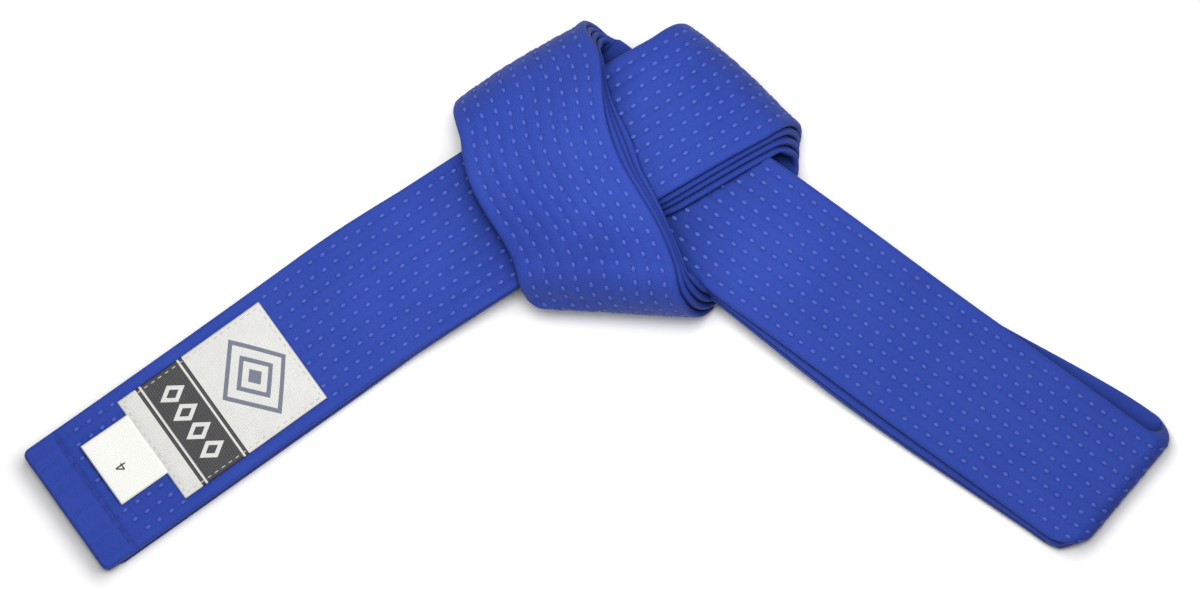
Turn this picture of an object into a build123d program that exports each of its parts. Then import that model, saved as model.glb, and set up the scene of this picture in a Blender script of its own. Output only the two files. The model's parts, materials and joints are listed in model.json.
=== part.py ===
from build123d import *
import os
from math import atan, cos, pi, radians, sin

# A quilted cloth belt, folded twice along its length into a band of four layers and tied in one
# flattened overhand knot. It lies on a flat surface. Millimetres, +Z up, +X towards the right tail.
# The origin is on that surface, under the middle of the whole object.

# The strap
strap_width = 45.0
layer_thickness = 2.4
layer_gap = 0.1
cover_wall = 0.45
core_clearance = 0.05
layer_count = 4
layer_pitch = layer_thickness + layer_gap
band_thickness = layer_count * layer_thickness + (layer_count - 1) * layer_gap
band_gap = 0.3
level_height = band_thickness + band_gap
floor_level = band_thickness / 2

# Distance of each layer's middle from the band's middle. The first layer carries the label and is
# the outermost one on the front. Layers 3 and 4 are joined at the strap's middle, in the left end.
middle_layer = (layer_count + 1) / 2
layer_offset = {
    number: (middle_layer - number) * layer_pitch for number in range(1, layer_count + 1)
}

# The knot: four straight passes of the band, each on its own level, joined by three folds.
# Headings are in plan, anticlockwise from +X. A fold's axis heading sets where the band goes next.
left_pass_heading = 30.7
left_pass_length = 82.9
left_pass_level = floor_level + 2 * level_height
back_pass_length = 61.25
front_pass_length = 61.3
right_pass_length = 83.0
fold_radius = 6.0
fold_axis_headings = (-41.8, -2.7, 36.3)
fold_levels = (2, 3, 2)
# The middle of each pass is divided squarely, so that it is a plain rectangle.
square_length = 24.0

# The tails: each leaves the knot at a cut where it can bend, runs down to the floor and lies there.
cut_gap = 0.3
left_tail_length = 153.4
left_tail_ramp = 62.0
left_tail_turn = 4.9
right_tail_length = 127.6
right_tail_ramp = 42.0
right_tail_turn = 0.3
turn_length = 30.0
middle_fold_setback = 2.6

# The labelled end
hem_length = 11.4
hem_groove_width = 0.8
hem_groove_depth = 0.25
hem_groove_margin = 1.5
hem_stitch_length = 2.2
hem_stitch_count = 13
hem_stitch_margin = 2.25
label_start = 32.9
label_end = 87.0
label_width = 36.6
label_thickness = 0.6
label_stitch = (1.6, 0.3, 0.12)
label_stitch_pitch = 3.0
label_stitch_inset = 1.0
tag_width = 22.0
tag_thickness = 0.3
tag_free_end = 15.9
tag_hinge_gap = 0.6
tag_margin = 5.0
tag_side_shift = 2.4
tag_pocket_clearance = 0.05

# How finely the bends and the flat runs are divided
quarter_turn_steps = 6
ramp_steps = 12
flat_steps = 4

# How far a cutting solid reaches past the face it cuts, and the least length told apart from none
past_face = 1.0
least_length = 1e-6

# The middle of the left cut in plan, before the whole object is centred
left_cut_place = Vector(-39.1, 20.9, 0)
up = Vector(0, 0, 1)


def plan_direction(heading):
    return Vector(cos(radians(heading)), sin(radians(heading)), 0)


def station(place, normal, half_ruling):
    """One cross-section of the band: its middle, its outer side and half its width."""
    return (place, normal, half_ruling)


def cross_station(place, heading, normal=up, face_down=False):
    """A cross-section square to the band's own direction."""
    across = plan_direction(heading - 90 if face_down else heading + 90)
    return station(place, normal, across * (strap_width / 2))


def fold_stations(start, heading, axis_heading, levels, face_down):
    """The band's way round one fold, and where and in which direction it leaves."""
    axis = plan_direction(axis_heading)
    outward = plan_direction(axis_heading + 90)
    if outward.dot(plan_direction(heading)) < 0:
        outward = -outward
    along_axis = axis.dot(plan_direction(heading))
    across_axis = outward.dot(plan_direction(heading))
    half_ruling = axis * (strap_width / 2 / across_axis)
    if half_ruling.dot(cross_station(start, heading, face_down=face_down)[2]) < 0:
        half_ruling = -half_ruling
    side = up if face_down else -up
    straight = levels * level_height - 2 * fold_radius
    stations = []
    for corner in range(2):
        for step in range(quarter_turn_steps + 1):
            angle = pi / 2 * (corner + step / quarter_turn_steps)
            wrapped = fold_radius * angle + corner * straight
            drop = fold_radius * (1 - cos(angle)) + corner * straight
            place = (
                start
                + outward * (fold_radius * sin(angle))
                + side * drop
                + axis * (wrapped * along_axis / across_axis)
            )
            normal = outward * sin(angle) - side * cos(angle)
            stations.append(station(place, normal, half_ruling))
    leaving = axis * along_axis - outward * across_axis
    return stations, place, leaving.get_angle(Vector(1, 0, 0)) * (1 if leaving.Y > 0 else -1)


def knot_stations():
    """The band through the knot, from the left cut to the right cut."""
    heading = left_pass_heading
    place = left_cut_place + up * left_pass_level
    stations = [cross_station(place, heading)]
    place = place + plan_direction(heading) * left_pass_length
    face_down = False
    next_lengths = (back_pass_length, front_pass_length, right_pass_length)
    for axis_heading, levels, length in zip(fold_axis_headings, fold_levels, next_lengths):
        turned, place, heading = fold_stations(place, heading, axis_heading, levels, face_down)
        stations += turned
        face_down = not face_down
        normal = -up if face_down else up
        middle = place + plan_direction(heading) * (length / 2)
        for side in (-1, 1):
            square = middle + plan_direction(heading) * (side * square_length / 2)
            stations.append(cross_station(square, heading, normal, face_down))
        place = place + plan_direction(heading) * length
    stations.append(cross_station(place, heading, normal, face_down))
    return stations, place, heading


def tail_stations(cut, heading, level, ramp, turn, length):
    """A tail's way from its cut down to the floor and out to its end, with its outer side up."""
    drop = level - floor_level
    slope = 2 * atan(drop / ramp)
    radius = ramp / 2 / sin(slope)
    arc = 2 * radius * slope
    flat = length - ramp
    place, travelled = cut + up * (level - cut.Z), 0.0
    stations = [cross_station(place, heading)]
    pieces = [arc / ramp_steps] * ramp_steps + [flat / flat_steps] * flat_steps
    for piece in pieces:
        middle = travelled + piece / 2
        turned = turn * min(1.0, middle / turn_length)
        lean = slope * max(0.0, min(middle, arc - middle)) / (arc / 2)
        direction = plan_direction(heading + turned) * cos(lean) - up * sin(lean)
        on_ramp = travelled < arc - least_length
        chord = 2 * radius * sin(piece / 2 / radius) if on_ramp else piece
        place = place + direction * chord
        travelled += piece
        lean = slope * max(0.0, min(travelled, arc - travelled)) / (arc / 2)
        turned = turn * min(1.0, travelled / turn_length)
        across = plan_direction(heading + turned)
        normal = up * cos(lean) + across * sin(lean)
        stations.append(cross_station(place, heading + turned, normal))
    return stations, heading + turn


def loop_stations(tail, end_heading, offset):
    """Out along a tail below the given offset, round its end and back above it."""
    out = [station(place + normal * offset, -normal, ruling) for place, normal, ruling in tail]
    back = [station(place + normal * offset, normal, ruling) for place, normal, ruling in tail]
    end, normal, ruling = back[-1]
    outward = plan_direction(end_heading)
    turned = []
    steps = 2 * quarter_turn_steps
    for step in range(1, steps):
        angle = pi * step / steps
        turned.append(station(end, outward * sin(angle) - normal * cos(angle), ruling))
    return out + turned + back[::-1]


def strip(stations, low, high, inset=0.0):
    """The solid between two distances from the band's middle, inset from the strap's edges."""
    wires = []
    for place, normal, half_ruling in stations:
        half = half_ruling * (1 - 2 * inset / strap_width)
        corners = (
            place + normal * low - half,
            place + normal * low + half,
            place + normal * high + half,
            place + normal * high - half,
        )
        wires.append(Wire.make_polygon(corners, close=True))
    return Solid.make_loft(wires, ruled=True)


def lengthened(stations, first, last):
    """The same way with its two ends moved out along it, or in where the distance is negative."""
    def moved(end, neighbour, distance):
        away = (end[0] - neighbour[0]).normalized()
        return station(end[0] + away * distance, end[1], end[2])
    return (
        [moved(stations[0], stations[1], first)]
        + stations[1:-1]
        + [moved(stations[-1], stations[-2], last)]
    )


def cover_and_core(stations, offset, hemmed=False):
    """The cloth cover of one layer and the core inside it. A hemmed end is closed."""
    half = layer_thickness / 2
    end_wall = -2 * cover_wall if hemmed else past_face
    cavity = strip(
        lengthened(stations, past_face, end_wall),
        offset - half + cover_wall,
        offset + half - cover_wall,
        cover_wall,
    )
    cover = strip(stations, offset - half, offset + half) - cavity
    room = cover_wall + core_clearance
    core_end = -2 * cover_wall - core_clearance if hemmed else 0.0
    core = strip(
        lengthened(stations, 0.0, core_end), offset - half + room, offset + half - room, room
    )
    return cover, core


def end_frame(stations, end_heading, height):
    """A plane at a tail's end, x running back along the tail and z up."""
    return Plane(
        origin=stations[-1][0] + up * height, x_dir=-plan_direction(end_heading), z_dir=up
    )


def block(plane, x_range, y_range, z_range):
    """A box given by its two limits on each axis of a plane."""
    size = [high - low for low, high in (x_range, y_range, z_range)]
    middle = [(high + low) / 2 for low, high in (x_range, y_range, z_range)]
    return plane.location * Location(tuple(middle)) * Solid.make_box(
        *size, Plane(origin=tuple(-s / 2 for s in size))
    )


def hem_seam(cover, plane):
    """Sinks a row of stitches into a cover, across the strap. The plane is on its upper face."""
    groove = block(
        plane,
        (hem_length - hem_groove_width / 2, hem_length + hem_groove_width / 2),
        (hem_groove_margin - strap_width / 2, strap_width / 2 - hem_groove_margin),
        (-hem_groove_depth, past_face),
    )
    pitch = (strap_width - 2 * hem_stitch_margin) / hem_stitch_count
    stitches = []
    for number in range(hem_stitch_count):
        y = (number - (hem_stitch_count - 1) / 2) * pitch
        stitches.append(
            block(
                plane,
                (hem_length - hem_groove_width / 4, hem_length + hem_groove_width / 4),
                (y - hem_stitch_length / 2, y + hem_stitch_length / 2),
                (-hem_groove_depth, 0.0),
            )
        )
    return cover - groove, Compound(stitches)


def label_parts(plane):
    """The woven label, its thread, the size tag and the margin that the label holds."""
    tag_y = (-tag_width / 2 + tag_side_shift, tag_width / 2 + tag_side_shift)
    label_y = (-label_width / 2, label_width / 2)
    pocket = block(
        plane,
        (label_start - past_face, label_start + tag_margin + tag_pocket_clearance),
        (tag_y[0] - tag_pocket_clearance, tag_y[1] + tag_pocket_clearance),
        (-past_face, tag_thickness + tag_pocket_clearance),
    )
    label = block(plane, (label_start, label_end), label_y, (0.0, label_thickness)) - pocket
    margin = block(plane, (label_start, label_start + tag_margin), tag_y, (0.0, tag_thickness))
    tag = block(plane, (tag_free_end, label_start - tag_hinge_gap), tag_y, (0.0, tag_thickness))
    long, wide, high = label_stitch
    stitches = []
    length, width = label_end - label_start, label_width
    for span, across, turned in ((length, width, False), (width, length, True)):
        count = int((span - 2 * label_stitch_inset) // label_stitch_pitch)
        for number in range(count):
            run = (number - (count - 1) / 2) * label_stitch_pitch
            for side in (-1, 1):
                off = side * (across / 2 - label_stitch_inset)
                x, y = (off, run) if turned else (run, off)
                half_x, half_y = (wide / 2, long / 2) if turned else (long / 2, wide / 2)
                centre = (label_start + label_end) / 2 + x
                stitches.append(
                    block(
                        plane,
                        (centre - half_x, centre + half_x),
                        (y - half_y, y + half_y),
                        (label_thickness, label_thickness + high),
                    )
                )
    return label, Compound(stitches), tag, margin


def knot_parts(stations):
    parts = {}
    for number, offset in layer_offset.items():
        cover, core = cover_and_core(stations, offset)
        parts[f"knot_cover_{number}"] = cover
        parts[f"knot_core_{number}"] = core
    return parts


def left_tail_parts(stations, end_heading):
    """The two hemmed ends of the strap on top, and below them the fold at the strap's middle."""
    parts = {}
    for number, name in ((1, "labelled_end"), (2, "plain_end")):
        offset = layer_offset[number]
        cover, core = cover_and_core(stations, offset, hemmed=True)
        plane = end_frame(stations, end_heading, offset + layer_thickness / 2)
        cover, seam = hem_seam(cover, plane)
        parts[f"{name}_cover"], parts[f"{name}_core"] = cover, core
        parts[f"{name}_hem_thread"] = seam
    shorter = lengthened(stations, 0.0, -middle_fold_setback)
    middle = (layer_offset[3] + layer_offset[4]) / 2
    turned = loop_stations(shorter, end_heading, middle)
    cover, core = cover_and_core(turned, layer_pitch / 2)
    parts["middle_fold_cover"], parts["middle_fold_core"] = cover, core
    plane = end_frame(stations, end_heading, band_thickness / 2)
    label, thread, tag, margin = label_parts(plane)
    parts["woven_label"], parts["label_thread"] = label, thread
    parts["size_tag"], parts["size_tag_margin"] = tag, margin
    return parts, plane


def right_tail_parts(stations, end_heading):
    """Layers 1 and 4 turn round layers 2 and 3 at the right end."""
    turned = loop_stations(stations, end_heading, 0.0)
    parts = {}
    for name, number in (("outer_loop", 1), ("inner_loop", 2)):
        cover, core = cover_and_core(turned, layer_offset[number])
        parts[f"{name}_cover"], parts[f"{name}_core"] = cover, core
    return parts


knot_way, right_cut, right_heading = knot_stations()
left_outward = left_pass_heading + 180
left_cut = knot_way[0][0] + plan_direction(left_outward) * cut_gap
right_start = right_cut + plan_direction(right_heading) * cut_gap
left_way, left_end_heading = tail_stations(
    left_cut, left_outward, left_pass_level, left_tail_ramp, left_tail_turn, left_tail_length
)
right_way, right_end_heading = tail_stations(
    right_start, right_heading, right_cut.Z, right_tail_ramp, right_tail_turn, right_tail_length
)

left_parts, label_plane = left_tail_parts(left_way, left_end_heading)
parts = knot_parts(knot_way) | left_parts | right_tail_parts(right_way, right_end_heading)

box = Compound(list(parts.values())).bounding_box()
to_origin = Vector(-box.center().X, -box.center().Y, 0)
os.makedirs("parts", exist_ok=True)
for name, shape in parts.items():
    export_step(shape.moved(Location(to_origin)), f"parts/{name}.step")

# The joint axes, for whoever writes them down: a point and a direction for each.
top = up * (band_thickness / 2)
left_axis = left_cut - plan_direction(left_outward) * (cut_gap / 2) + top
right_axis = right_start - plan_direction(right_heading) * (cut_gap / 2) + top
tag_axis = label_plane.origin + up * (tag_thickness / 2) - plan_direction(left_end_heading) * (
    label_start - tag_hinge_gap
)
for name, point, heading in (
    ("left tail", left_axis, left_outward),
    ("right tail", right_axis, right_heading),
    ("size tag", tag_axis, left_end_heading),
):
    place, across = point + to_origin, plan_direction(heading - 90)
    print(name, [round(v, 3) for v in place], [round(v, 6) for v in across])
print("size", box.size, "moved", to_origin)
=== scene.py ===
import json
import math

import bmesh
import bpy
import numpy as np
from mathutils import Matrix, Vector


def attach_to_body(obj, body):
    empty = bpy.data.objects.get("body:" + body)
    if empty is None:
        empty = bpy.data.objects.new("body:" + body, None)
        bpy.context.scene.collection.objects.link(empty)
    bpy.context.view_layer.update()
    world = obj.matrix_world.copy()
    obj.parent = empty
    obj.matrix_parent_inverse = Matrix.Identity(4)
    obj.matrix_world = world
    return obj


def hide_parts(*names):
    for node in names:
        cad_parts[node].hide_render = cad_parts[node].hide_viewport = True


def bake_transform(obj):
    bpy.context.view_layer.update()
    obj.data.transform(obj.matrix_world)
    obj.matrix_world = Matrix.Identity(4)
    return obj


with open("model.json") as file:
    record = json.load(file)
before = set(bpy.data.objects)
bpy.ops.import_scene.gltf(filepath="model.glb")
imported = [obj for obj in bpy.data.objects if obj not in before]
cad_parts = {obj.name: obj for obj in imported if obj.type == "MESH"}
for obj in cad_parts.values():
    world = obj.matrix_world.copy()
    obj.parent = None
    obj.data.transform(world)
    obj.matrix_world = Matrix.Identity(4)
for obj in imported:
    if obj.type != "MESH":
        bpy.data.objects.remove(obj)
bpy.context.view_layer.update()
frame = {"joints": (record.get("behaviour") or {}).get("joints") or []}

# A quilted belt: one strap folded twice into a band of four layers, tied in a flattened overhand
# knot. All shapes are worked out in millimetres along the band and turned into metres at the end.
# u runs along the band from the left cut to the right one, v across it, and h out from its middle.
MM = 0.001

# The strap and the band, as in the CAD model
strap_width = 45.0
layer_thickness = 2.4
layer_pitch = 2.5
middle_layer = 2.5  # layers are numbered 1 to 4, so the band's middle is between 2 and 3
half_thickness = layer_thickness / 2
edge_radius = half_thickness * 0.92
flat_half = strap_width / 2 - edge_radius
level_height = 10.2
floor_level = 4.95
band_turn_radius = 6.0

# The knot: lengths of the straight passes, and for each fold its axis heading and rise in levels
first_pass = 83.05
pass_lengths = (61.25, 61.3, 83.15)
fold_headings = (-41.8, -2.7, 36.3)
fold_rises = (-2, 3, -2)

# The tails: horizontal length, length of the run down to the floor, and turn in plan
left_tail = {"length": 153.25, "ramp": 80.0, "turn": 4.9, "turn_length": 45.0, "drop_levels": 2}
right_tail = {"length": 129.2, "ramp": 100.0, "turn": 0.3, "turn_length": 45.0, "drop_levels": 1}
middle_fold_setback = 2.6

# Softness: what share of an empty level stays open, over what distance the rest closes (a longer
# one beside the right tail, from where along its pass and growing over what length), how much
# further out on each side a pass is still taken to reach, and how round a fold's wall is
empty_share = 0.18
closing_distance = 36.0
right_closing_distance = 85.0
right_closing_starts = 40.0
right_closing_grows = 50.0
strand_margin = 0.6
wall_roundness = 0.32

# The pulled-tight knot: how far each fold is drawn in at the two ends of its line and over what
# distance, how far it swells out between them, how far its upper pass curves down to it and over
# what length, how far the front pass bows to one side and where along it (1 is its middle), and how
# far the left pass and the left tail lie to one side, between which places, and where that fades out
fold_insets = ((0.4, -0.1), (4.3, 3.7), (-1.1, 1.9))
fold_swells = (1.4, 0.0, 1.3)
inset_distance = 35.0
shoulder_drops = (3.2, 3.0, 3.6)
shoulder_length = 18.0
front_bow = 4.4
front_bow_lean = 1.4
front_bow_early = 12.0  # the bow begins this far before the pass
front_bow_longer = 20.0  # and is this much longer than it
left_lean = 1.8
left_tail_shift = 0.8
left_lean_places = (-50.0, -10.0)
left_lean_fades = 40.0

# A layer's slack: how far it wanders to one side, how fast that changes along the band, and how far
# its wave is ahead of the next layer's
layer_slack = 0.2
slack_wave = 0.031
slack_shift = 2.1

# How far each layer of the right tail lies to the lower side, at its root, its middle and its end.
# From the start of the right pass: where this begins, and where the first two values are reached
right_tail_sides = {1: (3.0, 2.4, -4.8), 2: (3.1, 4.8, 2.6), 3: (2.7, 3.6, 2.3), 4: (2.2, 1.6, 1.6)}
right_side_places = (10.0, 60.0, 128.0)

# The right end's fold: how much further out it is per millimetre across, and its round corners
end_slant = -0.07
end_corners = (4.0, 6.5)
end_shape_reach = 25.0

# Quilting
row_count = 10
row_pitch = 4.15
stitch_pitch = 4.4
stitch_length = 1.9
stitch_width = 1.2
stitch_height = 0.36
groove_depth = 0.27
groove_width = 0.75
groove_share = 0.25  # of its depth, between the needle holes
hole_share = 1.1  # of its depth, added at a needle hole
hole_width = 0.8
ridge_height = 0.09  # of the cloth between two rows
row_stagger = 0.5  # of a stitch pitch, from row to row
row_wander = 0.13
edge_fade = 1.5  # over what distance the quilting fades beside the strap's edge
stitch_wander = (0.13, 0.08)  # along its row and across it
stitch_sink = 0.4  # of the groove's depth
end_clearance = (2.0, 1.5)  # free of stitches at a stretch's start and end
hem_clearance = 2.5
cover_margin = 1.0  # round the label and the tag, where no stitches are made

# Slow waves in the cloth: size, change along and across the strap, and start
puckers = ((0.05, 0.21, 0.7, 0.0), (0.04, 0.093, -0.31, 1.0))

# Steps of a strap's mesh: along it, across its outer face and across its inner one
fine_steps = (0.7, 0.7, 2.2)
coarse_steps = (1.6, 2.4, 2.4)

# The mesh's last columns before a hemmed end, which is rounded, and the gap before them
nose_columns = (1.1, 0.75, 0.45, 0.2, 0.05, 0.0)
nose_gap = 0.2

# How far apart two faces are when painted shade begins to darken the cloth between them, in metres
painted_shade_reach = 0.02

# The labelled end, measured from the strap's end
hem_length = 11.4
hem_thickening = 0.5
hem_seam_depth = 0.62
hem_seam_width = 0.75
hem_step_before = 1.2
hem_step_length = 1.6
hem_stitch_pitch = 3.2
hem_stitch_reach = 19.2
hem_stitch_shape = (2.5, 0.6, 0.25)
hem_stitch_sink = 0.36
corner_radius = 2.4
label_start = 32.9
label_end = 87.0
label_width = 36.6
tag_free_end = 15.9
tag_width = 22.0
tag_side_shift = 2.4
tag_margin = 5.0
label_thickness = 0.5
tag_thickness = 0.26
tag_height = 0.34  # above the strap
tag_pressed = 0.24  # of it, under the label
tag_press_reach = 0.8
tag_curl = 0.9
tag_curl_tilt = 0.35  # how much less it curls in its middle than at its raised side
mark_from_end = 6.6
mark_shift = 1.4
mark_stroke = 0.5
mark_heights = (0.245, 0.29)
label_seam_inset = 1.3
label_seam_width = 0.5
label_stitch_pitch = 2.6
label_stitch_shape = (1.5, 0.34, 0.16)
label_puff = 0.1
label_puff_reach = 3.0
sheet_step = 0.6  # between the points of a thin sheet's mesh

# Places near where the tails leave the knot, along the band from their cuts, and on the tag, from the
# label's edge; their points are worked out but not used
left_bend = (-14.0, 8.0)
right_bend = (-6.0, 15.0)
tag_bend = (0.2, -2.6)

# Where the pieces of the strap meet, out of sight inside the knot
left_seam = 24.0
right_seam_from_cut = 38.0


def joint(name):
    return next(j for j in frame["joints"] if j["name"] == name)


def unit(heading):
    angle = math.radians(heading)
    return np.array((math.cos(angle), math.sin(angle)))


def smooth(x):
    x = np.clip(x, 0.0, 1.0)
    return x * x * (3 - 2 * x)


# ---- the band's way through the knot


class Pass:
    """A straight stretch of the band: where it starts, which way it runs and which way v points."""

    def __init__(self, start, heading, u, level, facing):
        self.start, self.heading, self.u, self.level, self.facing = start, heading, u, level, facing
        self.side = np.array((-heading[1], heading[0])) * facing

    def plan(self, u, v):
        along = (u - self.u)[:, None] * self.heading
        return self.start + along + v[:, None] * self.side


class Fold:
    """An oblique fold, whose outward direction is square to its line in plan."""

    def __init__(self, before, u, heading, rise, inset, swell, drop):
        self.before, self.rise = before, rise
        self.inset, self.swell, self.drop = inset, swell, drop
        self.centre = before.plan(np.array([u]), np.zeros(1))[0]
        self.axis = unit(heading)
        outward = unit(heading + 90)
        self.outward = outward if outward @ before.heading > 0 else -outward
        self.height = abs(rise) * level_height
        self.wrap = math.pi * band_turn_radius + self.height - 2 * band_turn_radius
        along, across = self.axis @ before.heading, self.outward @ before.heading
        self.leaves_u = u + self.wrap / across
        leaving = self.axis * along - self.outward * across
        start = self.centre + self.axis * self.wrap * along / across
        self.after = Pass(start, leaving, self.leaves_u, before.level + rise, -before.facing)
        # A wall of two tight corners and a slack middle that has this length and this height
        self.corner = (1 - wall_roundness) * math.pi / 2
        lengths = [[2 * self.corner, wall_roundness * math.pi],
                   [2 - 2 * math.cos(self.corner), 2 * math.cos(self.corner)]]
        self.tight, self.slack = np.linalg.solve(lengths, [self.wrap, self.height])

    def across(self, u, v):
        return (self.before.plan(u, v) - self.centre) @ self.outward

    def profile(self, q):
        """How far out and how high the wall is at q along it, and how far it has turned."""
        second = q > self.wrap / 2
        q = np.where(second, self.wrap - q, q)
        q = np.clip(q, 0, None)
        tight_length = self.tight * self.corner
        turned = np.where(q < tight_length, q / self.tight,
                          self.corner + (q - tight_length) / self.slack)
        at_corner = np.minimum(turned, self.corner)
        out = self.tight * np.sin(at_corner) + self.slack * (np.sin(turned) - np.sin(at_corner))
        up = self.tight * (1 - np.cos(at_corner))
        up = up + self.slack * (np.cos(at_corner) - np.cos(turned))
        up = np.where(second, self.height - up, up)
        turned = np.where(second, math.pi - turned, turned)
        return out, up, turned

    def drawn_in(self, along):
        """How far the fold's line is drawn in, at a distance along it from its middle."""
        middle = np.clip(1 - (2 * along / strap_width) ** 2, 0, 1)
        return np.interp(along, (-strap_width / 2, strap_width / 2), self.inset) - self.swell * middle

    def shoulder(self, inside, share):
        """How far the upper pass curves down before the fold, at a distance inside its line."""
        return self.drop * np.clip(1 - inside / shoulder_length, 0, None) ** 2 * share

    def place(self, u, v):
        """Plan position, height and outer side of the band inside the fold."""
        flat = self.before.plan(u, v) - self.centre
        q, along = flat @ self.outward, flat @ self.axis
        out, up, turned = self.profile(q)
        outward = (out - self.drawn_in(along))[:, None] * self.outward
        plan = self.centre + along[:, None] * self.axis + outward
        way = 1.0 if self.rise > 0 else -1.0
        share = up / self.height if way > 0 else 1 - up / self.height
        height = floor_level + self.before.level * level_height + way * up
        height = height - self.shoulder(-out, share)
        normal = np.zeros((len(u), 3))
        normal[:, :2] = np.sin(turned)[:, None] * self.outward
        normal[:, 2] = -way * np.cos(turned)
        return plan, height, normal


def knot_way():
    lift = joint("left_tail_lift")
    heading = math.degrees(math.atan2(lift["axis"][1], lift["axis"][0])) - 90
    start = np.array(lift["pos_m"][:2]) / MM
    here = Pass(start, unit(heading), 0.0, 2, 1)
    passes, folds = [here], []
    u = first_pass
    numbers = zip(fold_headings, fold_rises, fold_insets, fold_swells, shoulder_drops, pass_lengths)
    for heading, rise, inset, swell, drop, length in numbers:
        fold = Fold(here, u, heading, rise, inset, swell, drop)
        here = fold.after
        passes.append(here)
        folds.append(fold)
        u = fold.leaves_u + length
    return passes, folds, u


passes, folds, right_cut = knot_way()


class Tail:
    """The band from a cut down to the floor and out to its end, as a table along its length."""

    def __init__(self, leaving, cut_u, way, facing, length, ramp, turn, turn_length, drop_levels):
        self.cut_u, self.way = cut_u, way
        run = np.linspace(0, length + end_corners[1], 1201)
        heading = math.atan2(*(leaving.heading * way)[::-1])
        heading = heading + math.radians(turn) * smooth(run / turn_length)
        share = np.clip(run / ramp, 0, 1)
        drop = drop_levels * level_height
        self.height = floor_level + drop * (1 - share**3 * (share * (6 * share - 15) + 10))
        slope = np.gradient(self.height, run)
        step = run[1] - run[0]
        self.along = np.concatenate(([0], np.cumsum(step * np.sqrt(1 + slope[1:] ** 2))))
        self.direction = np.stack((np.cos(heading), np.sin(heading)), 1)
        moved = np.cumsum((self.direction[1:] + self.direction[:-1]) / 2 * step, 0)
        cut = leaving.plan(np.array([cut_u]), np.zeros(1))
        self.plan = np.concatenate((cut, cut + moved))
        lean = np.arctan(slope)
        normal = np.stack((-np.sin(lean) * self.direction[:, 0],
                           -np.sin(lean) * self.direction[:, 1], np.cos(lean)), 1)
        self.normal = normal * facing
        self.side = np.stack((-self.direction[:, 1], self.direction[:, 0]), 1) * way * facing
        self.end_u = cut_u + way * np.interp(length, run, self.along)

    def look_up(self, table, u):
        along = np.clip((u - self.cut_u) * self.way, 0, self.along[-1])
        if table.ndim == 1:
            return np.interp(along, self.along, table)
        return np.stack([np.interp(along, self.along, column) for column in table.T], 1)

    def place(self, u, v):
        plan = self.look_up(self.plan, u) + v[:, None] * self.look_up(self.side, u)
        return plan, self.look_up(self.height, u), self.look_up(self.normal, u)


left = Tail(passes[0], 0.0, -1, 1, **left_tail)
right = Tail(passes[3], right_cut, 1, -1, **right_tail)


def strand_reach(strand, plan):
    """How far a point in plan lies outside one pass of the band, 0 where it is on it."""
    centre = passes[strand]
    lateral = np.abs((plan - centre.start) @ centre.side) - strap_width / 2 - strand_margin
    beyond = [lateral]
    for fold in folds:
        if centre in (fold.before, fold.after):
            beyond.append((plan - fold.centre) @ fold.outward - fold.profile(
                np.array([fold.wrap / 2]))[0][0] - floor_level)
    return np.maximum(np.max(beyond, 0), 0)


strand_levels = (1, 3, 0, 2)  # passes 1 (back), 3 (right), 0 (left) and 2 (front) by level


def closing(plan, height):
    """How far the band sinks at a point, because the levels below it are empty there."""
    under = height - floor_level
    sunk = np.zeros(len(plan))
    along_right = (plan - passes[3].start) @ passes[3].heading
    beside_right = smooth((along_right - right_closing_starts) / right_closing_grows)
    gentler = (right_closing_distance - closing_distance) * beside_right
    for level, strand in enumerate(strand_levels):
        empty = smooth(strand_reach(strand, plan) / (closing_distance + gentler))
        passed = np.clip(under - level * level_height, 0, level_height)
        sunk += (1 - empty_share) * empty * passed
    return sunk


def eased(u, places, values):
    """Values at places, joined by smooth steps."""
    found = np.full(np.shape(u), float(values[0]))
    for start, end, low, high in zip(places, places[1:], values, values[1:]):
        found = found + (high - low) * smooth((u - start) / (end - start))
    return found


def fan(layer, u):
    """How far a layer lies to one side: the lower ones slip to the right through the knot."""
    back, front, last = (here.u for here in passes[1:])
    front_end = front + pass_lengths[1]
    slips = ((28, 0), (58, 1.7), (back, 1.6), (front - 30, 1.2), (front, 1.2), (front + 25, 1.7),
             (front_end - 26, 2.0), (front_end - 2, 0.5), (last, 0.3), (last + 22, 0))
    amount = eased(u, *zip(*slips))
    slack = layer_slack * np.sin(slack_wave * u + slack_shift * layer)
    bowed = np.clip((u - front + front_bow_early) / (front_end - front + front_bow_longer), 0, 1)
    bow = front_bow * np.sin(math.pi * bowed**front_bow_lean) ** 2
    lean = -eased(u, (*left_lean_places, back, back + left_lean_fades),
                  (left_tail_shift, left_lean, left_lean, 0))
    side_places = [last + far for far in right_side_places]
    lean = lean + eased(u, (*side_places, right.end_u), (0, *right_tail_sides[layer]))
    return bow + lean - (layer - 1) * amount + slack


def place(u, v, h):
    """Where a point of the band lies, in millimetres in the frame."""
    u, v, h = np.broadcast_arrays(np.asarray(u, float), v, h)
    shape = u.shape
    u, v, h = u.ravel(), v.ravel(), h.ravel()
    plan, height, normal = np.zeros((len(u), 2)), np.zeros(len(u)), np.zeros((len(u), 3))
    rest = np.ones(len(u), bool)

    def put(mask, made):
        plan[mask], height[mask], normal[mask] = made
        rest[mask] = False

    for tail, inside in ((left, u < 0), (right, u > right_cut)):
        put(inside, tail.place(u[inside], v[inside]))
    for fold in folds:
        before = rest & (fold.across(u, v) < fold.wrap)
        put(before, fold_or_pass(fold, u[before], v[before]))
    put(rest.copy(), flat_pass(passes[3], u[rest], v[rest]))
    point = np.concatenate((plan, (height - closing(plan, height))[:, None]), 1)
    return (point + normal * h[:, None]).reshape(*shape, 3)


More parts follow.
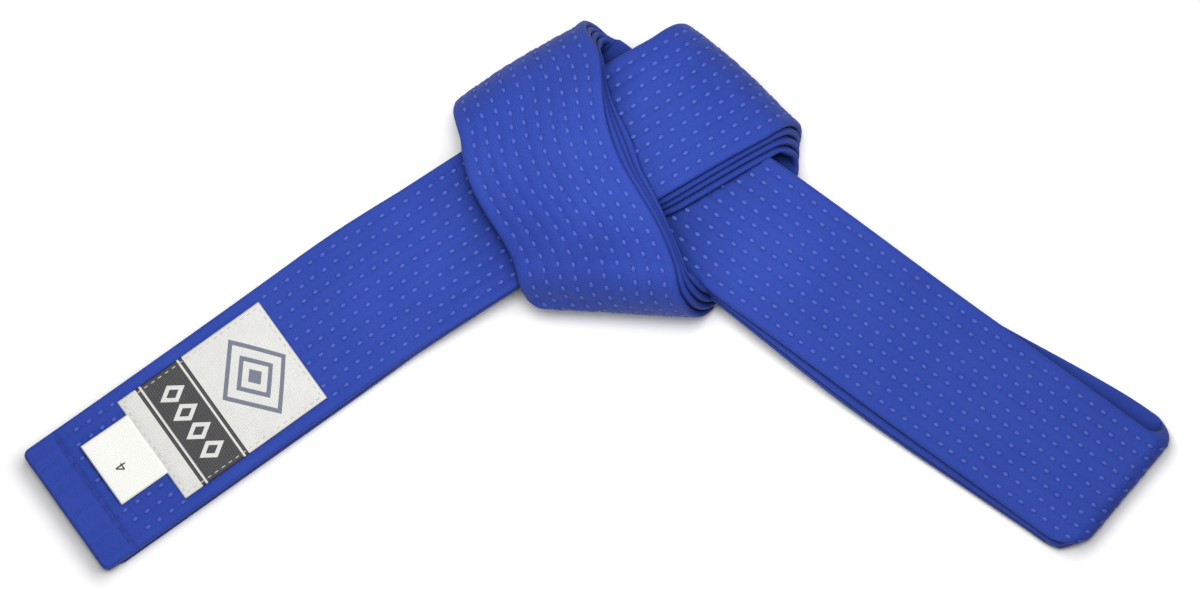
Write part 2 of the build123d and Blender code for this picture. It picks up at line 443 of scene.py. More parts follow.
def flat_pass(here, u, v):
    normal = np.tile((0.0, 0.0, float(here.facing)), (len(u), 1))
    height = np.full(len(u), floor_level + here.level * level_height)
    plan = here.plan(u, v)
    drawn = plan.copy()
    for fold in folds:
        if here in (fold.before, fold.after):
            inside = -(plan - fold.centre) @ fold.outward
            inset = fold.drawn_in((plan - fold.centre) @ fold.axis)
            drawn -= (inset * smooth(1 - inside / inset_distance))[:, None] * fold.outward
            if here.level == max(fold.before.level, fold.after.level):
                height -= fold.shoulder(inside, 1.0)
    return drawn, height, normal


def fold_or_pass(fold, u, v):
    """The pass before a fold, and the fold itself."""
    turned = fold.across(u, v) > 0
    plan, height, normal = flat_pass(fold.before, u, v)
    if turned.any():
        plan[turned], height[turned], normal[turned] = fold.place(u[turned], v[turned])
    return plan, height, normal


# ---- stretches of the strap


class Stretch:
    """One stretch of the strap: w runs along it, v across it and t out from its own middle.

    A plain stretch follows one layer from start to end. A turned one goes out on the layer at
    +radius from centre, round the end, and back on the layer at -radius, with t pointing outward.
    """

    def __init__(self, start, end, layers):
        self.start, self.end, self.layers = start, end, layers
        self.offsets = [(middle_layer - layer) * layer_pitch for layer in layers]
        self.way = 1 if end > start else -1
        self.out = abs(end - start)
        self.turned = len(layers) == 2
        self.centre = sum(self.offsets) / len(layers)
        self.radius = (self.offsets[0] - self.offsets[-1]) / 2
        self.turn = math.pi * self.radius
        self.length = 2 * self.out + self.turn if self.turned else self.out

    def shaped(self, u, v):
        """The right tail's fold lies aslant and has round corners."""
        if self.way < 0:
            return u
        near = smooth(1 - (self.end - u) / end_shape_reach)
        radius = np.where(v > 0, end_corners[1], end_corners[0])
        corner = np.clip((np.abs(v) - strap_width / 2) / radius + 1, 0, 1)
        return u + near * (end_slant * v - radius * (1 - np.sqrt(1 - corner**2)))

    def place(self, w, v, t):
        w, v, t = np.broadcast_arrays(np.asarray(w, float), v, t)
        first = np.minimum(w, self.out)
        u = self.start + self.way * first
        v_first = v + fan(self.layers[0], u)
        if not self.turned:
            return place(u, v_first, self.offsets[0] + t)
        back = np.clip(w - self.out - self.turn, 0, None)
        u = np.where(w > self.out + self.turn / 2, self.end - self.way * back, u)
        u = self.shaped(u, v)
        angle = np.clip((w - self.out) / self.turn, 0, 1)
        v_last = v + fan(self.layers[1], u)
        v_here = v_first + (v_last - v_first) * smooth(angle)
        angle = angle * math.pi
        h = self.centre + (self.radius + t) * np.cos(angle)
        point = place(u, v_here, h)
        tail = right if self.way > 0 else left
        beyond = (self.radius + t) * np.sin(angle)
        point[..., :2] += beyond[..., None] * tail.direction[-1]
        return point


labelled = Stretch(left_seam, left.end_u, [1])
plain = Stretch(left_seam, left.end_u, [2])
middle = Stretch(left_seam, left.end_u + middle_fold_setback, [4, 3])
outer = Stretch(right_cut - right_seam_from_cut, right.end_u, [1, 4])
inner = Stretch(right_cut - right_seam_from_cut, right.end_u, [2, 3])
through = {n: Stretch(left_seam, right_cut - right_seam_from_cut, [n]) for n in (1, 2, 3, 4)}


middle_row = (row_count - 1) / 2


def row_place(row):
    return (row - middle_row) * row_pitch


def row_shift(row):
    """Where a row's stitches start: rows are staggered, and no two are quite alike."""
    return stitch_pitch * (row_stagger * (row % 2) + row_wander * np.sin(2.3 * row + 0.4))


def run_length(points):
    """Distance along each line of points, from its first one."""
    steps = np.linalg.norm(np.diff(points, axis=0), axis=-1)
    return np.concatenate((np.zeros((1, *steps.shape[1:])), np.cumsum(steps, 0)))


def cloth_relief(s, v, fade=1.0):
    """The quilted face: a groove along each row, deepest where the needle went in."""
    row = np.clip(np.round(v / row_pitch + middle_row), 0, row_count - 1)
    phase = np.mod(s - row_shift(row), stitch_pitch)
    hole = np.minimum(np.abs(phase), np.abs(phase - stitch_pitch))
    hole = np.minimum(hole, np.abs(phase - stitch_length))
    groove = np.exp(-(((v - row_place(row)) / groove_width) ** 2))
    depth = groove_depth * (groove_share + hole_share * np.exp(-((hole / hole_width) ** 2)))
    slack = sum(size * np.sin(along * s + across * v + start) for size, along, across, start in puckers)
    return fade * (ridge_height * (1 - groove) - depth * groove + slack)


def hem_relief(distance):
    """The turned-in hem: a little thicker, with its seam pulled in."""
    thicker = hem_thickening * (1 - smooth((distance - hem_length + hem_step_before) / hem_step_length))
    seam = hem_seam_depth * np.exp(-(((distance - hem_length) / hem_seam_width) ** 2))
    return thicker - seam


def section(fine_out, fine_in):
    """The strap's outline: rows of (v, side of the strap, share of the rounded edge)."""
    def flat_side(step):
        return np.linspace(-flat_half, flat_half, int(round(2 * flat_half / step)) + 1)

    angles = np.linspace(math.pi / 2, -math.pi / 2, 9)[1:-1]
    points = [(v, 1.0, 0.0) for v in flat_side(fine_out)]
    points += [(flat_half + edge_radius * math.cos(a), math.sin(a), 1.0) for a in angles]
    points += [(v, -1.0, 0.0) for v in flat_side(fine_in)[::-1]]
    points += [(-flat_half - edge_radius * math.cos(a), math.sin(a), 1.0) for a in angles[::-1]]
    return np.array(points)


def strap_mesh(name, stretch, step, fine_out, fine_in, hemmed=False):
    """A closed strap with a quilted outside, along one stretch."""
    ring = section(fine_out, fine_in)
    columns = max(2, int(round(stretch.length / step)) + 1)
    w = np.linspace(0, stretch.length, columns)
    if hemmed:
        nose = stretch.length - np.array(nose_columns)
        w = np.concatenate((w[w < nose[0] - nose_gap], nose))
    w_grid, v_grid = np.meshgrid(w, ring[:, 0], indexing="ij")
    side = np.tile(ring[:, 1], (len(w), 1))
    on_edge = np.tile(ring[:, 2], (len(w), 1))
    fade = smooth((flat_half - np.abs(v_grid)) / edge_fade) * (1 - on_edge)
    s = run_length(stretch.place(w_grid, v_grid, side * half_thickness))
    t = side * (half_thickness + cloth_relief(s, v_grid, fade))
    if hemmed:
        distance = stretch.length - w_grid
        corner = np.clip(1 - distance / corner_radius, 0, 1)
        v_grid = v_grid * (1 - corner_radius * (1 - np.sqrt(1 - corner**2)) / (strap_width / 2))
        t += side * hem_relief(distance)
        t *= np.sqrt(np.clip(1 - (1 - np.clip(distance / half_thickness, 0.02, 1)) ** 2, 0, 1))
    points = stretch.place(w_grid, v_grid, t)
    count, around = w_grid.shape
    index = np.arange(count * around).reshape(count, around)
    following = np.roll(index, -1, 1)
    quads = np.stack((index[:-1], following[:-1], following[1:], index[1:]), -1).reshape(-1, 4)
    faces = quads.tolist() + [index[0].tolist(), index[-1].tolist()]
    return make_mesh(name, points.reshape(-1, 3), faces, (s.ravel(), v_grid.ravel()))


def make_mesh(name, points, faces, uv=None, smooth_faces=True):
    """A mesh object in metres, with faces turned outward and a map in millimetres of cloth."""
    mesh = bpy.data.meshes.new(name)
    mesh.from_pydata((np.asarray(points) * MM).tolist(), [], faces)
    mesh.update()
    if uv is not None:
        layer = mesh.uv_layers.new(name="cloth")
        corner = np.zeros(len(mesh.loops), int)
        mesh.loops.foreach_get("vertex_index", corner)
        layer.data.foreach_set("uv", np.stack([a[corner] for a in uv], 1).ravel())
    mesh.polygons.foreach_set("use_smooth", [smooth_faces] * len(mesh.polygons))
    made = bpy.data.objects.new(name, mesh)
    bpy.context.scene.collection.objects.link(made)
    turn_outward(made)
    return made


def turn_outward(made):
    work = bmesh.new()
    work.from_mesh(made.data)
    bmesh.ops.recalc_face_normals(work, faces=work.faces)
    work.to_mesh(made.data)
    work.free()


# ---- stitches


def bead(length, width, height, rings=7, around=8):
    """A stitch as a low arched bead: x along it, y across and z out of the cloth."""
    along = np.linspace(-1, 1, rings)
    points = []
    for x in along:
        arch = math.sqrt(max(0.0, 1 - x * x)) ** 0.8
        swell = max(0.22, arch)
        for k in range(around):
            a = 2 * math.pi * k / around
            points.append((x * length / 2, swell * width / 2 * math.cos(a),
                           height * (arch * 0.55 - 0.35) + swell * height / 2 * math.sin(a)))
    faces = []
    for ring_number in range(rings - 1):
        for k in range(around):
            a, b = ring_number * around + k, ring_number * around + (k + 1) % around
            faces.append((a, b, b + around, a + around))
    faces.append(tuple(range(around))[::-1])
    faces.append(tuple(range((rings - 1) * around, rings * around)))
    return np.array(points), faces


def stitches_mesh(name, stretch, spots, shape, lift):
    """Copies of one bead at spots of (w, v, turned) on a stretch's outer face, lift above it."""
    points, faces = bead(*shape)
    w, v, turned = np.array(spots, float).T
    lift = np.full(len(w), lift)
    reach = 0.3
    centre = stretch.place(w, v, lift)
    along = stretch.place(w + reach, v, lift) - stretch.place(w - reach, v, lift)
    across = stretch.place(w, v + reach, lift) - stretch.place(w, v - reach, lift)
    along /= np.linalg.norm(along, axis=1)[:, None]
    out = np.cross(along, across)
    out /= np.linalg.norm(out, axis=1)[:, None]
    up = stretch.place(w, v, lift + reach) - centre
    out *= np.sign((out * up).sum(1))[:, None]
    across = np.cross(out, along)
    swapped = turned[:, None] > 0
    along, across = np.where(swapped, across, along), np.where(swapped, along, across)
    placed = centre[:, None] + points[:, 0, None] * along[:, None]
    placed = placed + points[:, 1, None] * across[:, None] + points[:, 2, None] * out[:, None]
    shifts = (np.arange(len(w)) * len(points))[:, None]
    every = []
    for face in faces:
        every += (np.array(face)[None, :] + shifts).tolist()
    apart = 3.7  # spreads the stitches on the map, so that no two look the same
    map_along = (w[:, None] * apart + points[:, 0]).ravel()
    map_across = (v[:, None] + points[:, 1]).ravel()
    return make_mesh(name, placed.reshape(-1, 3), every, (map_along, map_across))


def quilting_spots(stretch, first, last, chance):
    """Where a stretch's stitches lie, row by row, each a hair off its place."""
    spots = []
    for row in range(row_count):
        v = row_place(row)
        w = np.linspace(0, stretch.length, int(stretch.length * 2))
        s = run_length(stretch.place(w, np.full(w.shape, v), np.full(w.shape, half_thickness)))
        start = row_shift(row) + stitch_length / 2
        places = np.arange(start, s[-1], stitch_pitch)
        places = places + chance.normal(0, stitch_wander[0], len(places))
        found = np.interp(places, s, w)
        found = found[(found > first) & (found < last)]
        spots += [(w_here, v + chance.normal(0, stitch_wander[1]), 0) for w_here in found]
    return spots


def uncovered(spots, stretch):
    """The stitches that don't lie under the label or the size tag."""
    def covered(w, v):
        distance = stretch.length - w
        in_label = label_start - cover_margin < distance < label_end + cover_margin
        under_label = in_label and abs(v) < label_width / 2 + cover_margin
        in_tag = tag_free_end - cover_margin < distance < label_start
        return under_label or (in_tag and abs(v - tag_side_shift) <= tag_width / 2 + cover_margin)

    return [spot for spot in spots if not covered(spot[0], spot[1])]


# ---- materials


class Shader:
    """A small helper for building one material's nodes."""

    def __init__(self, name):
        self.material = bpy.data.materials.new(name)
        self.material.use_nodes = True
        self.nodes = self.material.node_tree.nodes
        self.links = self.material.node_tree.links
        self.surface = self.nodes["Principled BSDF"]

    def node(self, kind, **values):
        made = self.nodes.new("ShaderNode" + kind)
        for key, value in values.items():
            setattr(made, key, value)
        return made

    def join(self, source, target):
        self.links.new(source, target)

    def math(self, operation, a, b=None, c=None):
        made = self.node("Math", operation=operation)
        for slot_number, value in enumerate((a, b, c)):
            if value is None:
                continue
            if isinstance(value, (int, float)):
                made.inputs[slot_number].default_value = value
            else:
                self.join(value, made.inputs[slot_number])
        return made.outputs[0]

    def mix(self, factor, a, b):
        made = self.node("Mix", data_type="RGBA")
        for socket, value in ((made.inputs[0], factor), (made.inputs[6], a), (made.inputs[7], b)):
            if isinstance(value, (int, float)):
                socket.default_value = value
            elif isinstance(value, tuple):
                socket.default_value = (*value, 1)
            else:
                self.join(value, socket)
        return made.outputs[2]

    def noise(self, vector, scale, detail=3.0, roughness=0.55):
        made = self.node("TexNoise")
        made.inputs["Scale"].default_value = scale
        made.inputs["Detail"].default_value = detail
        made.inputs["Roughness"].default_value = roughness
        self.join(vector, made.inputs["Vector"])
        return made.outputs["Fac"]

    def ramp(self, factor, stops):
        made = self.node("ValToRGB")
        line = made.color_ramp
        while len(line.elements) < len(stops):
            line.elements.new(0.5)
        for element, (position, colour) in zip(line.elements, stops):
            element.position = position
            element.color = (*colour, 1)
        self.join(factor, made.inputs[0])
        return made.outputs[0]

    def bump(self, height, strength, distance):
        made = self.node("Bump")
        made.inputs["Strength"].default_value = strength
        made.inputs["Distance"].default_value = distance
        self.join(height, made.inputs["Height"])
        self.join(made.outputs[0], self.surface.inputs["Normal"])

    def paint(self, colour):
        self.join(colour, self.surface.inputs["Base Color"])

    def in_space(self):
        return self.node("TexCoord").outputs["Object"]

    def wave(self, value, rate):
        return self.math("SINE", self.math("MULTIPLY", value, rate))

    def set_surface(self, values):
        """Uniform values, on the surface's own sockets."""
        for socket, value in values.items():
            self.surface.inputs[socket].default_value = value

    def painted_shade_occlusion(self, distance):
        """How open a point is, which sets where shade is painted: 1 on a free face, near 0 deep in a
        crease.
        """
        made = self.node("AmbientOcclusion", samples=8)
        made.inputs["Distance"].default_value = distance
        return made.outputs["AO"]

    def cloth_axes(self):
        where = self.node("UVMap", uv_map="cloth")
        apart = self.node("SeparateXYZ")
        self.join(where.outputs[0], apart.inputs[0])
        return where.outputs[0], apart.outputs[0], apart.outputs[1]


def weave_height(shader, along, across, pitch_along, pitch_across):
    """Plain weave: warp and weft threads that pass over each other by turns."""
    wave_along = shader.wave(along, math.pi / pitch_along)
    wave_across = shader.wave(across, math.pi / pitch_across)
    warp = shader.math("ABSOLUTE", wave_along)
    weft = shader.math("ABSOLUTE", wave_across)
    over = shader.math("MULTIPLY_ADD", shader.math("MULTIPLY", wave_along, wave_across), 0.5, 0.5)
    high = shader.math("MULTIPLY", warp, over)
    low = shader.math("MULTIPLY", weft, shader.math("SUBTRACT", 1.0, over))
    return shader.math("ADD", high, low)


def belt_cloth():
    """Royal-blue quilted cotton with a soft fuzz, darker where its weave's threads lie low, and with
    shade painted into its creases.
    """
    shader = Shader("belt_cloth")
    where, along, across = shader.cloth_axes()
    thread = weave_height(shader, along, across, 0.62, 0.55)
    place_in_space = shader.in_space()
    patches = shader.noise(place_in_space, 38.0, 4.0)
    fine = shader.noise(where, 1.9, 3.0, 0.7)
    tone = shader.ramp(patches, [(0.3, (0.018, 0.038, 0.255)), (0.72, (0.032, 0.061, 0.345))])
    speckle = shader.ramp(fine, [(0.35, (0.014, 0.030, 0.222)), (0.75, (0.050, 0.092, 0.415))])
    colour = shader.mix(0.42, tone, speckle)
    # Darker where the weave's threads lie low, lighter where they cross over.
    deep = shader.ramp(thread, [(0.05, (0.012, 0.026, 0.200)), (0.6, (0.033, 0.062, 0.365))])
    colour = shader.mix(0.3, colour, deep)
    # Painted shade: the cloth turns near-black navy in creases, in the gaps between layers and beside
    # the floor, where shade falls.
    painted_shade_factor = shader.ramp(shader.painted_shade_occlusion(painted_shade_reach), [(0.2, (0.0,) * 3), (0.95, (1.0,) * 3)])
    colour = shader.mix(painted_shade_factor, (0.004, 0.010, 0.080), colour)
    shader.paint(colour)
    rough = shader.ramp(fine, [(0.3, (0.62,) * 3), (0.8, (0.74,) * 3)])
    shader.join(rough, shader.surface.inputs["Roughness"])
    shader.set_surface({"IOR": 1.36, "Specular IOR Level": 0.5, "Specular Tint": (0.22, 0.40, 1.0, 1),
                        "Sheen Weight": 0.02, "Sheen Roughness": 0.45,
                        "Sheen Tint": (0.35, 0.5, 1.0, 1)})
    height = shader.math("ADD", thread, shader.math("MULTIPLY", fine, 0.9))
    shader.bump(height, 0.42, 0.00014)
    return shader.material


def thread_material(name, dark, light):
    """Twisted sewing thread."""
    shader = Shader(name)
    where, along, across = shader.cloth_axes()
    twist = shader.wave(shader.math("ADD", along, across), 16.0)
    twist = shader.math("MULTIPLY_ADD", twist, 0.5, 0.5)
    uneven = shader.noise(shader.in_space(), 160.0, 2.0)
    colour = shader.mix(uneven, dark, light)
    shader.paint(shader.mix(shader.math("MULTIPLY", twist, 0.35), colour, light))
    shader.set_surface({"Roughness": 0.65, "Specular IOR Level": 0.35, "Sheen Weight": 0.05})
    shader.bump(twist, 0.4, 0.0001)
    return shader.material


def label_cloth():
    """Off-white woven satin with a dark band, both with a generic ornament of diamonds."""
    shader = Shader("label_cloth")
    where, along, across = shader.cloth_axes()
    weft = shader.wave(across, 11.0)
    rib = shader.wave(along, 7.4)
    fine = shader.noise(where, 2.6, 3.0, 0.6)
    patches = shader.noise(where, 0.16, 2.0)
    white = shader.ramp(fine, [(0.3, (0.56, 0.56, 0.54)), (0.7, (0.70, 0.70, 0.68))])
    aged = shader.ramp(fine, [(0.3, (0.47, 0.46, 0.44)), (0.7, (0.64, 0.63, 0.61))])
    white = shader.mix(patches, white, aged)
    dark = shader.ramp(fine, [(0.3, (0.010, 0.010, 0.012)), (0.75, (0.026, 0.026, 0.030))])
    grey = shader.ramp(fine, [(0.3, (0.09, 0.10, 0.15)), (0.75, (0.15, 0.17, 0.23))])

    def between(value, low, high):
        above = shader.math("GREATER_THAN", value, low)
        return shader.math("MULTIPLY", above, shader.math("LESS_THAN", value, high))

    def reach_from(x_centre, y_from, flatness):
        x = shader.math("ABSOLUTE", shader.math("SUBTRACT", along, x_centre))
        return shader.math("ADD", x, shader.math("MULTIPLY", y_from, flatness))

    # In millimetres, along the label from its outer end and across it from its middle
    band = between(along, 6.7, 24.0)
    lines = shader.math("ADD", between(along, 7.9, 8.6), between(along, 22.1, 22.8))
    step = shader.math("PINGPONG", shader.math("ADD", across, 3.5), 3.5)
    chain = reach_from(15.35, step, 1.5)
    inside_band = shader.math("LESS_THAN", shader.math("ABSOLUTE", across), 14.0)
    chain = shader.math("MULTIPLY", between(chain, 2.3, 4.6), inside_band)
    reach = reach_from(39.0, shader.math("ABSOLUTE", across), 0.86)
    motif = shader.math("ADD", between(reach, 10.4, 12.2), between(reach, 5.2, 7.0))
    motif = shader.math("ADD", motif, shader.math("LESS_THAN", reach, 2.6))
    colour = shader.mix(band, white, dark)
    colour = shader.mix(shader.math("ADD", lines, chain), colour, white)
    colour = shader.mix(motif, colour, grey)
    shader.paint(colour)
    shader.set_surface({"Roughness": 0.5, "Sheen Weight": 0.1})
    height = shader.math("ADD", weft, shader.math("MULTIPLY", rib, 0.6))
    height = shader.math("ADD", height, shader.math("MULTIPLY", fine, 1.2))
    shader.bump(height, 0.3, 0.00012)
    return shader.material


def tag_cloth():
    """Thin satin tape."""
    shader = Shader("size_tag_cloth")
    where, along, across = shader.cloth_axes()
    rib = shader.wave(along, 9.0)
    fine = shader.noise(where, 2.2, 3.0, 0.6)
    colour = shader.ramp(fine, [(0.3, (0.64, 0.64, 0.60)), (0.7, (0.77, 0.77, 0.73))])
    shader.paint(colour)
    shader.set_surface({"Roughness": 0.42})
    shader.bump(shader.math("ADD", rib, fine), 0.25, 0.0001)
    return shader.material


def ink():
    shader = Shader("tag_ink")
    where = shader.in_space()
    patchy = shader.noise(where, 900.0, 2.0)
    colour = shader.ramp(patchy, [(0.3, (0.03, 0.03, 0.035)), (0.8, (0.09, 0.09, 0.1))])
    shader.paint(colour)
    shader.set_surface({"Roughness": 0.7})
    return shader.material


def floor_material():
    """A pale, faintly uneven studio floor."""
    shader = Shader("studio_floor")
    where = shader.in_space()
    uneven = shader.noise(where, 7.0, 3.0)
    colour = shader.ramp(uneven, [(0.3, (0.93, 0.93, 0.93)), (0.7, (0.96, 0.96, 0.96))])
    shader.paint(colour)
    shader.set_surface({"Roughness": 0.8})
    shader.bump(shader.noise(where, 260.0, 2.0), 0.05, 0.0003)
    return shader.material


cloth = belt_cloth()
quilting_thread = thread_material("quilting_thread", (0.037, 0.072, 0.39), (0.057, 0.104, 0.475))
hem_thread = thread_material("hem_thread", (0.012, 0.028, 0.20), (0.026, 0.054, 0.30))
label_white_thread = thread_material("label_thread", (0.42, 0.42, 0.41), (0.60, 0.60, 0.58))


def dress(made, material):
    made.data.materials.append(material)
    return made


# ---- the pieces


def on_centre_line(u):
    """A point of the band's middle at rest, in metres."""
    return tuple(place(np.array([u]), np.zeros(1), np.zeros(1))[0] * MM)


def bend_left(made):
    """Bakes a left tail piece's place into its mesh; the points where the band leaves the knot are
    worked out but not used.
    """
    start, end = (on_centre_line(u) for u in left_bend)
    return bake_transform(made)


def bend_right(made):
    """The same for a right tail piece: its place is baked into its mesh, and the points worked out are
    not used.
    """
    start, end = (on_centre_line(right_cut + u) for u in right_bend)
    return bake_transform(made)


def stay_in_knot(made):
    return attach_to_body(made, "knot")


def strap_piece(name, stretch, attach, fine, stitched=True, hemmed=False):
    """One stretch of the strap with its quilting, in place of its CAD cover and core."""
    made = strap_mesh(name, stretch, *(fine_steps if fine else coarse_steps), hemmed)
    dress(made, cloth)
    attach(made)
    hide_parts(name.replace("strap", "cover"), name.replace("strap", "core"))
    pieces = []
    if stitched:
        chance = np.random.default_rng(len(name) * 7 + 3)
        last = stretch.length - (hem_length + hem_clearance if hemmed else end_clearance[1])
        spots = quilting_spots(stretch, end_clearance[0], last, chance)
        if hemmed:
            spots = uncovered(spots, stretch)
        shape = (stitch_length, stitch_width, stitch_height)
        seams = stitches_mesh(name + "_quilting", stretch, spots, shape,
                              half_thickness - groove_depth * stitch_sink)
        dress(seams, quilting_thread)
        attach(seams)
        pieces.append(seams)
    return made, pieces


def hem_stitches(name, stretch, node):
    """The row of stitches across the strap that holds its turned-in end."""
    w = stretch.length - hem_length
    spots = [(w, v, 1) for v in np.arange(-hem_stitch_reach, hem_stitch_reach + 0.1,
                                           hem_stitch_pitch)]
    made = stitches_mesh(name, stretch, spots, hem_stitch_shape, half_thickness - hem_stitch_sink)
    dress(made, hem_thread)
    bend_left(made)
    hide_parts(node)
    return made


def thin_sheet(name, stretch, w_range, v_range, lift, thickness, bulge=None):
    """A thin piece of cloth on a stretch's outer face, with softly rounded edges."""
    columns = int(round((w_range[1] - w_range[0]) / sheet_step)) + 1
    rows = int(round((v_range[1] - v_range[0]) / sheet_step)) + 1
    w, v = np.meshgrid(np.linspace(*w_range, columns), np.linspace(*v_range, rows), indexing="ij")
    inside = np.minimum(np.minimum(w - w_range[0], w_range[1] - w),
                        np.minimum(v - v_range[0], v_range[1] - v))
    rounded = np.sqrt(np.clip(1 - (1 - np.clip(inside / (thickness * 0.8), 0, 1)) ** 2, 0.02, 1))
    top = lift(w, v) + thickness * (0.5 + 0.5 * rounded)
    if bulge:
        top = top + bulge(inside, w, v)
    low = lift(w, v) + thickness * (0.5 - 0.5 * rounded)
    points = np.concatenate((stretch.place(w, v, top).reshape(-1, 3),
                             stretch.place(w, v, low).reshape(-1, 3)))
    index = np.arange(columns * rows).reshape(columns, rows)
    quads = np.stack((index[:-1, :-1], index[:-1, 1:], index[1:, 1:], index[1:, :-1]), -1)
    quads = quads.reshape(-1, 4)
    under = quads[:, ::-1] + columns * rows
    rim = np.concatenate((index[0, :], index[1:, -1], index[-1, -2::-1], index[-2:0:-1, 0]))
    ahead = np.roll(rim, -1)
    sides = np.stack((rim, rim + columns * rows, ahead + columns * rows, ahead), -1)
    faces = np.concatenate((quads, under, sides)).tolist()
    along = (stretch.length - label_start) - w
    return make_mesh(name, points, faces, (np.tile(along.ravel(), 2), np.tile(v.ravel(), 2)))


top_layer, top_quilting = strap_piece(
    "labelled_end_strap", labelled, bend_left, fine=True, hemmed=True)
second_layer, second_quilting = strap_piece(
    "plain_end_strap", plain, bend_left, fine=False, stitched=False, hemmed=True)
lower_layers, lower_quilting = strap_piece(
    "middle_fold_strap", middle, bend_left, fine=True)
outer_loop, outer_quilting = strap_piece(
    "outer_loop_strap", outer, bend_right, fine=True)
inner_loop, inner_quilting = strap_piece(
    "inner_loop_strap", inner, bend_right, fine=False, stitched=False)
for number, stretch in through.items():
    made, pieces = strap_piece(
        f"knot_strap_{number}", stretch, stay_in_knot, fine=number == 1, stitched=number == 1)

hem_a = hem_stitches("labelled_end_hem_stitches", labelled, "labelled_end_hem_thread")
hem_b = hem_stitches("plain_end_hem_stitches", plain, "plain_end_hem_thread")

# The label: sewn down round its edge, a little proud in the middle
label_w = (labelled.length - label_end, labelled.length - label_start)
label_v = (-label_width / 2, label_width / 2)


def label_bulge(inside, w, v):
    sewn = np.exp(-(((inside - label_seam_inset) / label_seam_width) ** 2))
    uneven = 0.03 * np.sin(0.55 * w + 0.3 * v)
    return label_puff * smooth(inside / label_puff_reach) - label_puff * sewn + uneven


label = thin_sheet("woven_label_cloth", labelled, label_w, label_v,
                   lambda w, v: np.full(w.shape, half_thickness + 0.02), label_thickness, label_bulge)
dress(label, label_cloth())
bend_left(label)
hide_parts("woven_label")


def label_stitch_spots():
    inset, spots = label_seam_inset, []
    start = inset + label_stitch_pitch / 2
    for v in (label_v[0] + inset, label_v[1] - inset):
        for w in np.arange(label_w[0] + start, label_w[1] - inset, label_stitch_pitch):
            spots.append((w, v, 0))
    for w in (label_w[0] + inset, label_w[1] - inset):
        for v in np.arange(label_v[0] + start, label_v[1] - inset, label_stitch_pitch):
            spots.append((w, v, 1))
    return spots


label_stitches = stitches_mesh("label_stitches", labelled, label_stitch_spots(),
                               label_stitch_shape, half_thickness + label_thickness)
dress(label_stitches, label_white_thread)
bend_left(label_stitches)
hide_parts("label_thread")

# The size tag: sewn in under the label's edge, its free end lying on the strap with a slight curl
tag_w = (labelled.length - label_start - tag_margin, labelled.length - tag_free_end)
tag_v = (-tag_width / 2 + tag_side_shift, tag_width / 2 + tag_side_shift)


def tag_lift(w, v):
    free = w - (labelled.length - label_start)
    across = (v - tag_side_shift) / (tag_width / 2)
    curl = tag_curl * smooth(free / (label_start - tag_free_end)) ** 1.5
    curl = curl * (1 - tag_curl_tilt + tag_curl_tilt * across)
    pressed = tag_pressed * smooth(-free / tag_press_reach + 0.2)
    return half_thickness + tag_height - pressed + curl


tag = thin_sheet("size_tag_tape", labelled, tag_w, tag_v, tag_lift, tag_thickness)
dress(tag, tag_cloth())
tag_start, tag_end = (on_centre_line(left.end_u + label_start + u) for u in tag_bend)
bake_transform(tag)
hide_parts("size_tag", "size_tag_margin")


def size_mark():
    """A generic size numeral in three strokes, 3.4 mm tall, printed near the tag's free end."""
    strokes = (((-1.7, 0.55), (0.45, -1.05)), ((0.45, -1.05), (0.45, 1.15)),
               ((-1.7, 0.55), (1.7, 0.55)))
    points, faces = [], []
    centre_w = labelled.length - tag_free_end - mark_from_end
    centre_v = tag_side_shift - mark_shift
    for (x0, y0), (x1, y1) in strokes:
        dx, dy = x1 - x0, y1 - y0
        length = math.hypot(dx, dy)
        px, py = -dy / length * mark_stroke / 2, dx / length * mark_stroke / 2
        base = len(points)
        for layer_height in mark_heights:
            for x, y in ((x0 + px, y0 + py), (x1 + px, y1 + py), (x1 - px, y1 - py),
                         (x0 - px, y0 - py)):
                w, v = np.array([centre_w - x]), np.array([centre_v + y])
                t = tag_lift(w, v) + layer_height
                points.append(labelled.place(w, v, t)[0])
        faces += [[base + i for i in corner] for corner in (
            (0, 1, 2, 3), (7, 6, 5, 4), (0, 4, 5, 1), (1, 5, 6, 2), (2, 6, 7, 3), (3, 7, 4, 0))]
    return make_mesh("size_numeral", points, faces, smooth_faces=False)


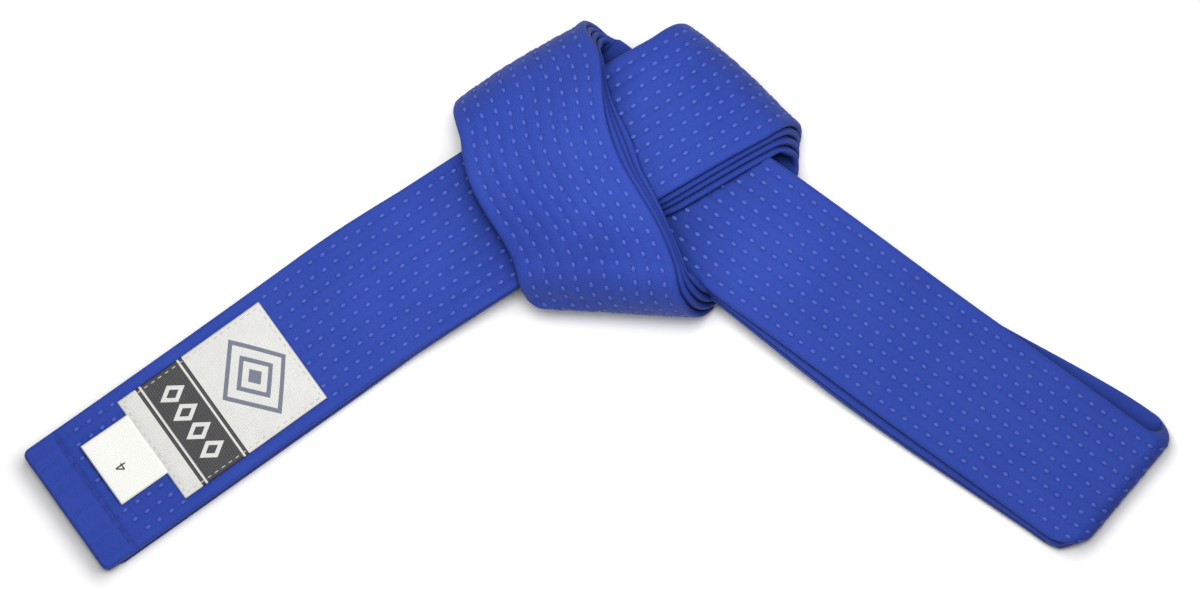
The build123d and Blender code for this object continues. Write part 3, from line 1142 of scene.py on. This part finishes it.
mark = dress(size_mark(), ink())
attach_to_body(mark, "size_tag_flap")


# ---- floor, lights and camera


def floor():
    mesh = bpy.data.meshes.new("studio_floor")
    reach = 3.0
    corners = [(-reach, -reach, 0), (reach, -reach, 0), (reach, reach, 0), (-reach, reach, 0)]
    mesh.from_pydata(corners, [], [(0, 1, 2, 3)])
    made = bpy.data.objects.new("studio_floor", mesh)
    bpy.context.scene.collection.objects.link(made)
    made.data.materials.append(floor_material())


def stand(name, data, location, direction, front):
    """Adds an object with its front axis along direction."""
    made = bpy.data.objects.new(name, data)
    made.location = location
    made.rotation_euler = Vector(direction).to_track_quat(front, "Y").to_euler()
    bpy.context.scene.collection.objects.link(made)
    return made


def area_light(name, location, size, power):
    """A square light that faces the middle of the frame."""
    data = bpy.data.lights.new(name, "AREA")
    data.shape = "SQUARE"
    data.size, data.energy = size, power
    stand(name, data, location, -Vector(location), "-Z")


def sun_light(name, direction, power, angle):
    data = bpy.data.lights.new(name, "SUN")
    data.energy, data.angle = power, math.radians(angle)
    stand(name, data, direction, direction, "Z")


def world_light(strength):
    world = bpy.data.worlds.new("studio")
    bpy.context.scene.world = world
    world.use_nodes = True
    background = world.node_tree.nodes["Background"]
    background.inputs["Color"].default_value = (1, 1, 1, 1)
    background.inputs["Strength"].default_value = strength


def camera(look_at, elevation, distance, view_width):
    data = bpy.data.cameras.new("camera")
    data.sensor_width = 36.0
    data.lens = data.sensor_width * distance / view_width
    data.clip_start, data.clip_end = 0.05, 20.0
    angle = math.radians(elevation)
    location = Vector(look_at) + distance * Vector((0, -math.cos(angle), math.sin(angle)))
    bpy.context.scene.camera = stand("camera", data, location, Vector(look_at) - location, "-Z")


floor()
world_light(strength=0.11)
sun_light("ceiling", direction=(0.0, 0.02, 1.0), power=1.22, angle=16.0)
area_light("key", location=(0.0, 0.032, 0.36), size=0.28, power=1.42)
camera(look_at=(0.0024, -0.0003, 0.008), elevation=82.0, distance=2.0, view_width=0.3696)
bpy.context.scene.view_settings.view_transform = "Standard"
